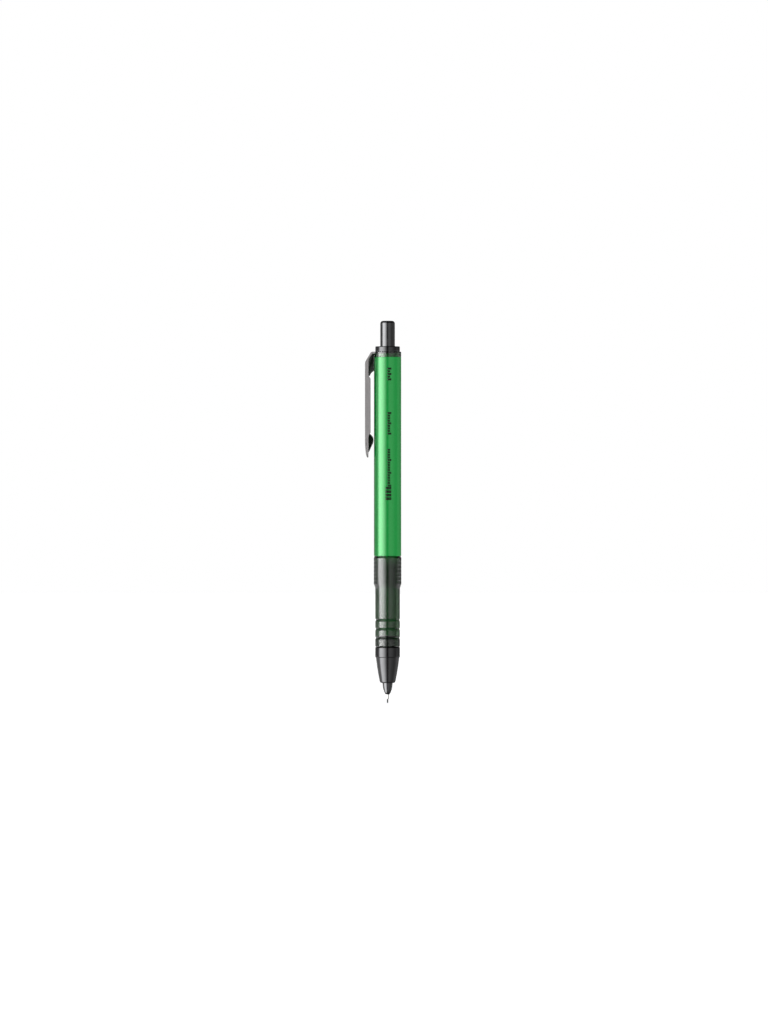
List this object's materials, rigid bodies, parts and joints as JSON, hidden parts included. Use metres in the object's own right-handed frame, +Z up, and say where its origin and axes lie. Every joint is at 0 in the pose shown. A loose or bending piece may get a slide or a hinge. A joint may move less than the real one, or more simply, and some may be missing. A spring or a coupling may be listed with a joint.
{
  "type": "lead holder",
  "caption": "Push-button lead holder for fine leads: slim barrel, smoked ribbed grip, sliding lead-guard tip, sprung clutch, steel pocket clip and pull-off cap over an eraser.",
  "frame": {"origin": "the writing end of the lead, on the pencil's axis", "axes": "+Z up the axis to the push button, -X the side that the pocket clip is on, right-handed"},
  "size_m": [0.0135, 0.0102, 0.142],
  "materials": {
    "green_abs": "glossy moulded, metallic green",
    "smoked_pc": "clear smoked, polished",
    "black_abs": "black moulded",
    "black_nickel": "black nickel plate",
    "dark_nickel": "dark nickel plate",
    "spring_steel": "satin nickel-plated spring steel",
    "brass": "turned",
    "acetal": "moulded",
    "soft_rubber": "matt",
    "eraser_vinyl": "matt white vinyl",
    "graphite": "polymer-bonded graphite"
  },
  "bodies": {
    "barrel_body": {"barrel": "green_abs", "front_grip": "smoked_pc", "nose_cone": "black_nickel", "rear_collar": "black_nickel", "clip_base": "smoked_pc", "retaining_bush": "acetal", "tip_spring": "spring_steel", "cushion_spring": "spring_steel"},
    "clip_body": {"clip_strap": "spring_steel", "clip_pad": "black_abs"},
    "tip_body": {"nose_tip": "dark_nickel", "lead_pipe": "spring_steel", "lead_retainer": "soft_rubber"},
    "housing_body": {"chuck_housing": "acetal", "return_spring": "spring_steel"},
    "chuck_body": {"chuck": "brass", "chuck_connector": "brass", "lead_tube": "black_abs", "spare_lead_1": "graphite", "spare_lead_2": "graphite", "spare_lead_3": "graphite", "eraser": "eraser_vinyl"},
    "ring_body": {"clutch_ring": "brass"},
    "lead_body": {"lead": "graphite"},
    "button_body": {"push_button": "dark_nickel"}
  },
  "joints": [
    {"name": "clip_flex", "type": "hinge", "parent": "barrel_body", "child": "clip_body", "pos_m": [-0.0061, 0, 0.1303], "axis": [0, 1, 0], "range_deg": [0, 4], "stiffness_Nm_per_rad": 1.2, "springref_deg": -0.57},
    {"name": "tip_guard", "type": "slide", "parent": "barrel_body", "child": "tip_body", "axis": [0, 0, -1], "range_m": [0, 0.0015], "stiffness_N_per_m": 60, "springref_m": -0.002, "deforming": ["tip_spring"]},
    {"name": "cushion_slide", "type": "slide", "parent": "barrel_body", "child": "housing_body", "axis": [0, 0, 1], "range_m": [0, 0.0015], "stiffness_N_per_m": 800, "springref_m": -0.004, "deforming": ["cushion_spring"]},
    {"name": "button_press", "type": "slide", "parent": "housing_body", "child": "chuck_body", "axis": [0, 0, -1], "range_m": [0, 0.0025], "stiffness_N_per_m": 500, "springref_m": -0.004, "deforming": ["return_spring"]},
    {"name": "ring_slide", "type": "slide", "parent": "housing_body", "child": "ring_body", "axis": [0, 0, -1], "range_m": [0, 0.00065]},
    {"name": "lead_feed", "type": "slide", "parent": "housing_body", "child": "lead_body", "axis": [0, 0, -1], "range_m": [0, 0.00065]},
    {"name": "button_pull", "type": "slide", "parent": "chuck_body", "child": "button_body", "axis": [0, 0, 1], "range_m": [0, 0.0085]}
  ],
  "couplings": [
    {"joint": "ring_slide", "follows": "button_press", "ratio": 0.26},
    {"joint": "lead_feed", "follows": "button_press", "ratio": 0.26}
  ]
}
